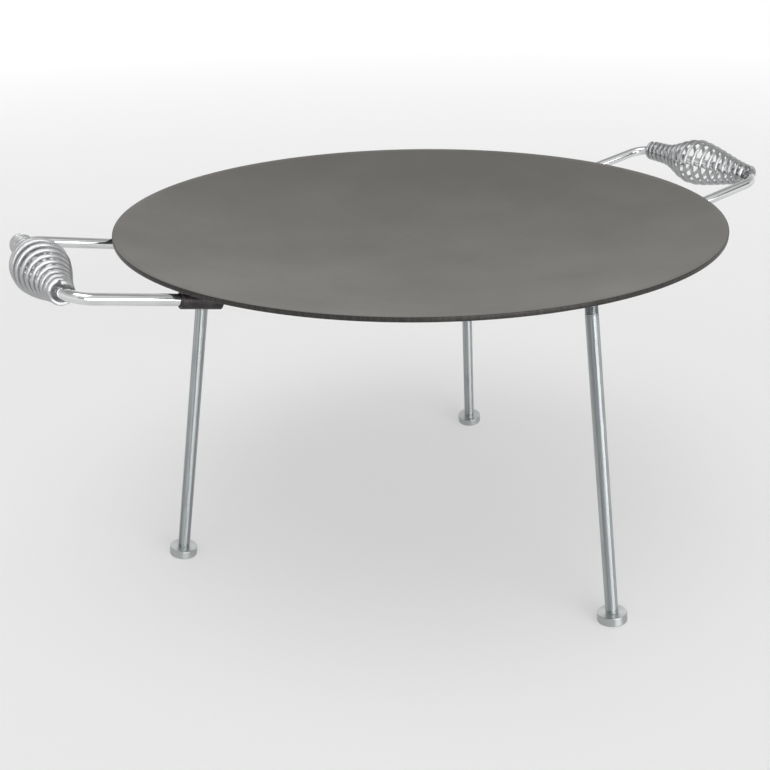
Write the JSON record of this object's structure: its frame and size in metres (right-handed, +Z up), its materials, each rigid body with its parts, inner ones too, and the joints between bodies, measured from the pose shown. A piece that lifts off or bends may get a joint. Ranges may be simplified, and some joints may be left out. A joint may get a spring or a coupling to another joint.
{
  "type": "camp griddle plate",
  "caption": "Round, shallow-dished steel griddle plate on splayed screw-in rod legs with disc feet, and bent-rod handles held in sleeves under the rim, each with a bulged spring-wire grip.",
  "frame": {"origin": "on the ground under the middle of the plate, at the lowest edges of the feet", "axes": "+X along the line of the two handles, +Z up, the front leg near -Y"},
  "size_m": [0.7697, 0.58, 0.3779],
  "materials": {
    "plate_steel": "bare rolled carbon steel, oiled, satin dark grey",
    "fitting_steel": "dark bare steel, dull",
    "weld": "weld metal, rough",
    "leg_zinc": "bright zinc plated, satin, slightly blue",
    "foot_zinc": "zinc plated, satin",
    "handle_chrome": "bright plated rod",
    "spring_chrome": "bright plated spring wire"
  },
  "bodies": {
    "plate": {"griddle_plate": "plate_steel", "socket_front": "fitting_steel", "socket_right": "fitting_steel", "socket_left": "fitting_steel", "socket_weld_front": "weld", "socket_weld_right": "weld", "socket_weld_left": "weld", "sleeve_right_front": "fitting_steel", "sleeve_right_rear": "fitting_steel", "sleeve_left_front": "fitting_steel", "sleeve_left_rear": "fitting_steel", "sleeve_weld_right_front": "weld", "sleeve_weld_right_rear": "weld", "sleeve_weld_left_front": "weld", "sleeve_weld_left_rear": "weld"},
    "leg_front": {"leg_rod_front": "leg_zinc", "foot_front": "foot_zinc"},
    "leg_right": {"leg_rod_right": "leg_zinc", "foot_right": "foot_zinc"},
    "leg_left": {"leg_rod_left": "leg_zinc", "foot_left": "foot_zinc"},
    "handle_right": {"handle_rod_right": "handle_chrome"},
    "grip_right": {"grip_coil_right": "spring_chrome"},
    "handle_left": {"handle_rod_left": "handle_chrome"},
    "grip_left": {"grip_coil_left": "spring_chrome"}
  },
  "joints": [
    {"name": "leg_front_unscrew", "type": "slide", "parent": "plate", "child": "leg_front", "axis": [0.04, -0.1492, -0.988], "range_m": [0, 0.02]},
    {"name": "leg_right_unscrew", "type": "slide", "parent": "plate", "child": "leg_right", "axis": [0.1092, 0.1092, -0.988], "range_m": [0, 0.02]},
    {"name": "leg_left_unscrew", "type": "slide", "parent": "plate", "child": "leg_left", "axis": [-0.1492, 0.04, -0.988], "range_m": [0, 0.02]},
    {"name": "handle_right_pull", "type": "slide", "parent": "plate", "child": "handle_right", "axis": [0.9817, 0, 0.1905], "range_m": [0, 0.035]},
    {"name": "grip_right_turn", "type": "hinge", "parent": "handle_right", "child": "grip_right", "pos_m": [0.36, 0, 0.35279], "axis": [0, 1, 0], "continuous": true},
    {"name": "handle_left_pull", "type": "slide", "parent": "plate", "child": "handle_left", "axis": [-0.9817, 0, 0.1905], "range_m": [0, 0.035]},
    {"name": "grip_left_turn", "type": "hinge", "parent": "handle_left", "child": "grip_left", "pos_m": [-0.36, 0, 0.35279], "axis": [0, 1, 0], "continuous": true}
  ]
}
